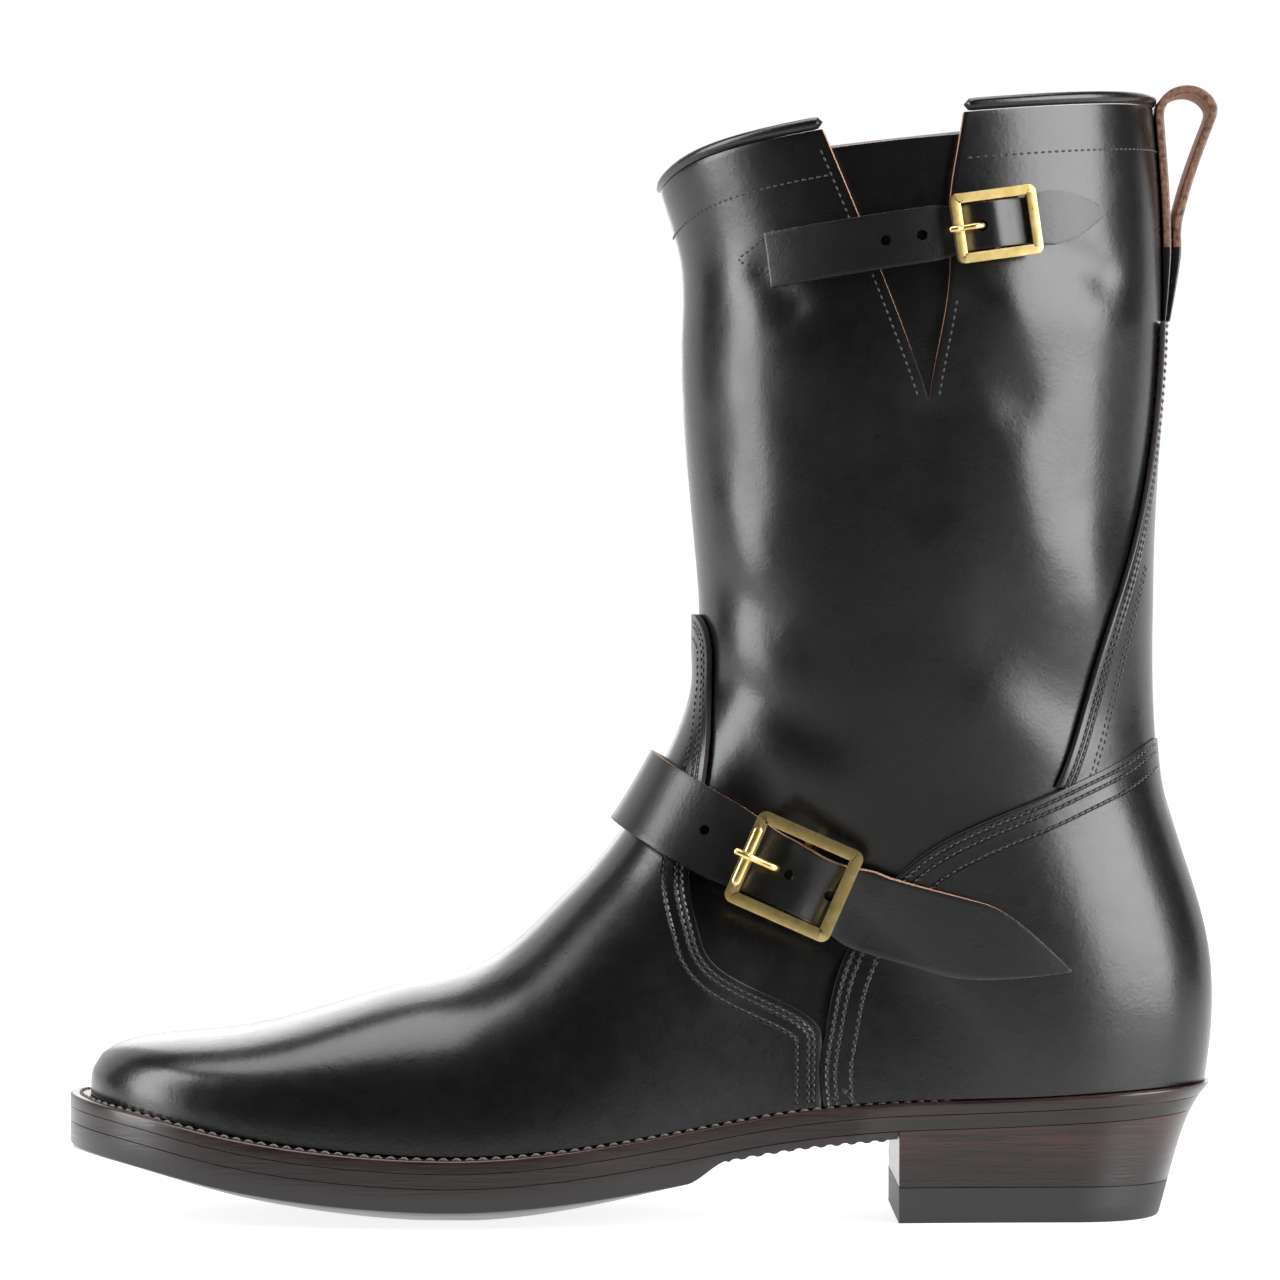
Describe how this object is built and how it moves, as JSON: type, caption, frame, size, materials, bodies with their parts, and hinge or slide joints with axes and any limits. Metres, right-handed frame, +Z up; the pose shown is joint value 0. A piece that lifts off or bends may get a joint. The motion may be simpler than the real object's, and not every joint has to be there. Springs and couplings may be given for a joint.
{
  "type": "engineer boot",
  "caption": "Left engineer boot in black leather: tall shaft with a notched, buckled collar, buckled instep strap, welted leather sole and stacked heel.",
  "frame": {"origin": "on the floor, under the middle of the boot's box", "axes": "+Z up, toe towards -X, outer side of the foot towards -Y, inner side towards +Y"},
  "size_m": [0.3056, 0.113, 0.2994],
  "materials": {
    "black_leather": "semi-gloss",
    "burgundy_sole_edge": "burnished",
    "stacked_leather": "burnished",
    "black_rubber": "matte",
    "tan_leather": "natural",
    "polished_brass": "polished"
  },
  "bodies": {
    "root": {"outsole": "burgundy_sole_edge", "midsole": "burgundy_sole_edge", "welt": "burgundy_sole_edge", "heel_stack": "stacked_leather", "heel_top_lift": "black_rubber", "insole": "tan_leather", "upper": "black_leather", "vamp": "black_leather", "counter": "black_leather", "back_stay": "black_leather", "gusset": "black_leather", "collar_binding": "black_leather", "pull_loop": "black_leather", "top_strap": "black_leather", "top_chape": "black_leather", "top_buckle": "polished_brass", "top_prong": "polished_brass", "instep_strap": "black_leather", "instep_chape": "black_leather", "instep_buckle": "polished_brass", "instep_prong": "polished_brass"}
  },
  "joints": []
}
